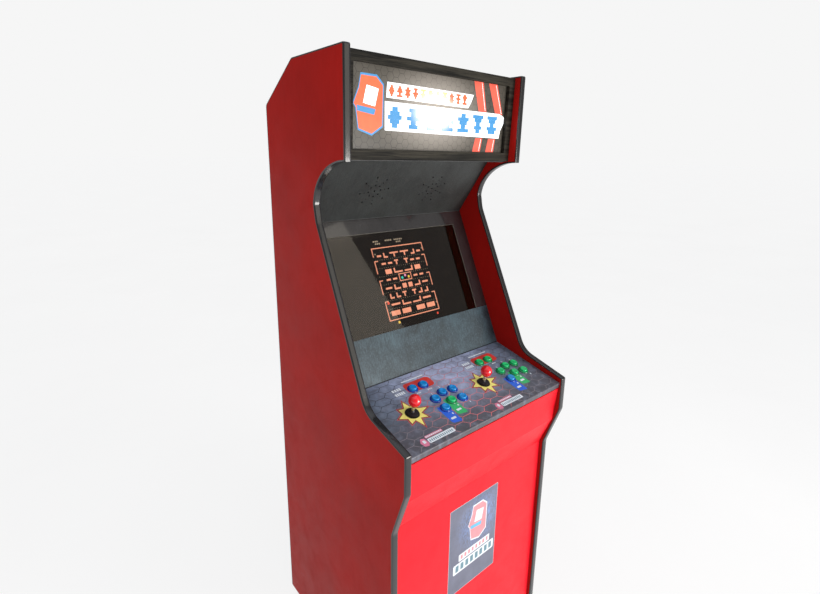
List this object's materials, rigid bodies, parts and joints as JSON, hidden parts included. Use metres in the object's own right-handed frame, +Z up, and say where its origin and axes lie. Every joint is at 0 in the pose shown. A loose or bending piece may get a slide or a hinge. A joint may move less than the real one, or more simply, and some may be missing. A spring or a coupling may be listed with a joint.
{
  "type": "upright arcade cabinet",
  "caption": "Upright two-player video arcade cabinet with red side panels, lit header, raked screen, sloping deck of joysticks and push buttons, rear service door and levelling feet.",
  "frame": {"origin": "on the floor, under the middle of the cabinet's bounding box", "axes": "+X to the right seen from the front, front faces -Y, +Z up"},
  "size_m": [0.654, 0.652, 1.829],
  "materials": {
    "red_paint": "satin paint on MDF",
    "red_front": "satin paint on MDF",
    "edge_trim": "satin extruded PVC",
    "black_laminate": "satin laminate on MDF",
    "black_woodgrain": "black stained wood grain",
    "slate_laminate": "textured slate-grey laminate on MDF",
    "speaker_laminate": "fine textured black laminate on MDF",
    "raw_board": "bare MDF",
    "deck_print": "printed vinyl under clear satin film",
    "marquee_print": "backlit printed translucent acrylic",
    "lamp": "opal tube and white housing",
    "glass": "smoked, polished",
    "black_plastic": "satin",
    "blue_plastic": "glossy",
    "green_plastic": "glossy",
    "red_plastic": "glossy",
    "steel": "bright",
    "zinc": "zinc plated",
    "grey_paint": "powder coat"
  },
  "bodies": {
    "cabinet": {"side_panel_left": "red_paint", "side_panel_right": "red_paint", "edge_trim_left": "edge_trim", "edge_trim_right": "edge_trim", "base_board": "raw_board", "kick_panel": "red_front", "apron_panel": "red_front", "roof_panel": "black_laminate", "rear_slope_panel": "black_laminate", "rear_frame_panel": "black_laminate", "soffit_board": "black_laminate", "marquee_frame": "black_woodgrain", "marquee_panel": "marquee_print", "marquee_lamp": "lamp", "speaker_panel": "speaker_laminate", "speaker_left": "black_plastic", "speaker_right": "black_plastic", "bezel_board": "slate_laminate", "screen_glass": "glass", "monitor_panel": "black_plastic", "monitor_mount": "raw_board", "control_panel_board": "raw_board", "control_panel_overlay": "deck_print", "p1_button_bank": "blue_plastic", "p2_button_bank": "green_plastic", "p1_joystick_base": "zinc", "p2_joystick_base": "zinc", "hinge_fixed_leaf": "steel", "power_inlet": "black_plastic", "foot_front_left": "zinc", "foot_rear_left": "zinc", "foot_front_right": "zinc", "foot_rear_right": "zinc", "computer_case": "grey_paint"},
    "p1_admin_button_1": {"p1_admin_button_1": "blue_plastic"},
    "p1_admin_button_2": {"p1_admin_button_2": "blue_plastic"},
    "p1_action_button_1": {"p1_action_button_1": "blue_plastic"},
    "p1_action_button_2": {"p1_action_button_2": "blue_plastic"},
    "p1_action_button_3": {"p1_action_button_3": "blue_plastic"},
    "p1_action_button_4": {"p1_action_button_4": "blue_plastic"},
    "p1_action_button_5": {"p1_action_button_5": "green_plastic"},
    "p1_action_button_6": {"p1_action_button_6": "blue_plastic"},
    "p1_gimbal": {"p1_joystick_gimbal": "zinc"},
    "p1_stick": {"p1_joystick_shaft": "steel", "p1_joystick_ball": "red_plastic"},
    "p2_admin_button_1": {"p2_admin_button_1": "green_plastic"},
    "p2_admin_button_2": {"p2_admin_button_2": "green_plastic"},
    "p2_action_button_1": {"p2_action_button_1": "green_plastic"},
    "p2_action_button_2": {"p2_action_button_2": "green_plastic"},
    "p2_action_button_3": {"p2_action_button_3": "green_plastic"},
    "p2_action_button_4": {"p2_action_button_4": "blue_plastic"},
    "p2_action_button_5": {"p2_action_button_5": "green_plastic"},
    "p2_action_button_6": {"p2_action_button_6": "green_plastic"},
    "p2_gimbal": {"p2_joystick_gimbal": "zinc"},
    "p2_stick": {"p2_joystick_shaft": "steel", "p2_joystick_ball": "red_plastic"},
    "door": {"rear_door": "black_laminate", "hinge_door_leaf": "steel"},
    "lock": {"door_lock": "steel"},
    "switch": {"power_switch": "red_plastic"}
  },
  "joints": [
    {"name": "p1_admin_button_1_press", "type": "slide", "parent": "cabinet", "child": "p1_admin_button_1", "axis": [0, 0.2164, -0.9763], "range_m": [0, 0.0032], "stiffness_N_per_m": 220, "springref_m": -0.0035},
    {"name": "p1_admin_button_2_press", "type": "slide", "parent": "cabinet", "child": "p1_admin_button_2", "axis": [0, 0.2164, -0.9763], "range_m": [0, 0.0032], "stiffness_N_per_m": 220, "springref_m": -0.0035},
    {"name": "p1_action_button_1_press", "type": "slide", "parent": "cabinet", "child": "p1_action_button_1", "axis": [0, 0.2164, -0.9763], "range_m": [0, 0.0032], "stiffness_N_per_m": 220, "springref_m": -0.0035},
    {"name": "p1_action_button_2_press", "type": "slide", "parent": "cabinet", "child": "p1_action_button_2", "axis": [0, 0.2164, -0.9763], "range_m": [0, 0.0032], "stiffness_N_per_m": 220, "springref_m": -0.0035},
    {"name": "p1_action_button_3_press", "type": "slide", "parent": "cabinet", "child": "p1_action_button_3", "axis": [0, 0.2164, -0.9763], "range_m": [0, 0.0032], "stiffness_N_per_m": 220, "springref_m": -0.0035},
    {"name": "p1_action_button_4_press", "type": "slide", "parent": "cabinet", "child": "p1_action_button_4", "axis": [0, 0.2164, -0.9763], "range_m": [0, 0.0032], "stiffness_N_per_m": 220, "springref_m": -0.0035},
    {"name": "p1_action_button_5_press", "type": "slide", "parent": "cabinet", "child": "p1_action_button_5", "axis": [0, 0.2164, -0.9763], "range_m": [0, 0.0032], "stiffness_N_per_m": 220, "springref_m": -0.0035},
    {"name": "p1_action_button_6_press", "type": "slide", "parent": "cabinet", "child": "p1_action_button_6", "axis": [0, 0.2164, -0.9763], "range_m": [0, 0.0032], "stiffness_N_per_m": 220, "springref_m": -0.0035},
    {"name": "p1_joystick_forward_back", "type": "hinge", "parent": "cabinet", "child": "p1_gimbal", "pos_m": [-0.2, -0.19163, 0.89111], "axis": [1, 0, 0], "range_deg": [-6.5, 6.5], "stiffness_Nm_per_rad": 2},
    {"name": "p1_joystick_left_right", "type": "hinge", "parent": "p1_gimbal", "child": "p1_stick", "pos_m": [-0.2, -0.19163, 0.89111], "axis": [0, 0.9763, 0.2164], "range_deg": [-6.5, 6.5], "stiffness_Nm_per_rad": 2},
    {"name": "p2_admin_button_1_press", "type": "slide", "parent": "cabinet", "child": "p2_admin_button_1", "axis": [0, 0.2164, -0.9763], "range_m": [0, 0.0032], "stiffness_N_per_m": 220, "springref_m": -0.0035},
    {"name": "p2_admin_button_2_press", "type": "slide", "parent": "cabinet", "child": "p2_admin_button_2", "axis": [0, 0.2164, -0.9763], "range_m": [0, 0.0032], "stiffness_N_per_m": 220, "springref_m": -0.0035},
    {"name": "p2_action_button_1_press", "type": "slide", "parent": "cabinet", "child": "p2_action_button_1", "axis": [0, 0.2164, -0.9763], "range_m": [0, 0.0032], "stiffness_N_per_m": 220, "springref_m": -0.0035},
    {"name": "p2_action_button_2_press", "type": "slide", "parent": "cabinet", "child": "p2_action_button_2", "axis": [0, 0.2164, -0.9763], "range_m": [0, 0.0032], "stiffness_N_per_m": 220, "springref_m": -0.0035},
    {"name": "p2_action_button_3_press", "type": "slide", "parent": "cabinet", "child": "p2_action_button_3", "axis": [0, 0.2164, -0.9763], "range_m": [0, 0.0032], "stiffness_N_per_m": 220, "springref_m": -0.0035},
    {"name": "p2_action_button_4_press", "type": "slide", "parent": "cabinet", "child": "p2_action_button_4", "axis": [0, 0.2164, -0.9763], "range_m": [0, 0.0032], "stiffness_N_per_m": 220, "springref_m": -0.0035},
    {"name": "p2_action_button_5_press", "type": "slide", "parent": "cabinet", "child": "p2_action_button_5", "axis": [0, 0.2164, -0.9763], "range_m": [0, 0.0032], "stiffness_N_per_m": 220, "springref_m": -0.0035},
    {"name": "p2_action_button_6_press", "type": "slide", "parent": "cabinet", "child": "p2_action_button_6", "axis": [0, 0.2164, -0.9763], "range_m": [0, 0.0032], "stiffness_N_per_m": 220, "springref_m": -0.0035},
    {"name": "p2_joystick_forward_back", "type": "hinge", "parent": "cabinet", "child": "p2_gimbal", "pos_m": [0.081, -0.19163, 0.89111], "axis": [1, 0, 0], "range_deg": [-6.5, 6.5], "stiffness_Nm_per_rad": 2},
    {"name": "p2_joystick_left_right", "type": "hinge", "parent": "p2_gimbal", "child": "p2_stick", "pos_m": [0.081, -0.19163, 0.89111], "axis": [0, 0.9763, 0.2164], "range_deg": [-6.5, 6.5], "stiffness_Nm_per_rad": 2},
    {"name": "rear_door_hinge", "type": "hinge", "parent": "cabinet", "child": "door", "pos_m": [-0.2495, 0.3208, 0.815], "axis": [0, 0, 1], "range_deg": [0, 110]},
    {"name": "door_lock_turn", "type": "hinge", "parent": "door", "child": "lock", "pos_m": [0.222, 0.317, 0.815], "axis": [0, 1, 0], "range_deg": [0, 90]},
    {"name": "power_switch_rock", "type": "hinge", "parent": "cabinet", "child": "switch", "pos_m": [0.2, 0.3188, 0.128], "axis": [1, 0, 0], "range_deg": [-20, 0]}
  ]
}
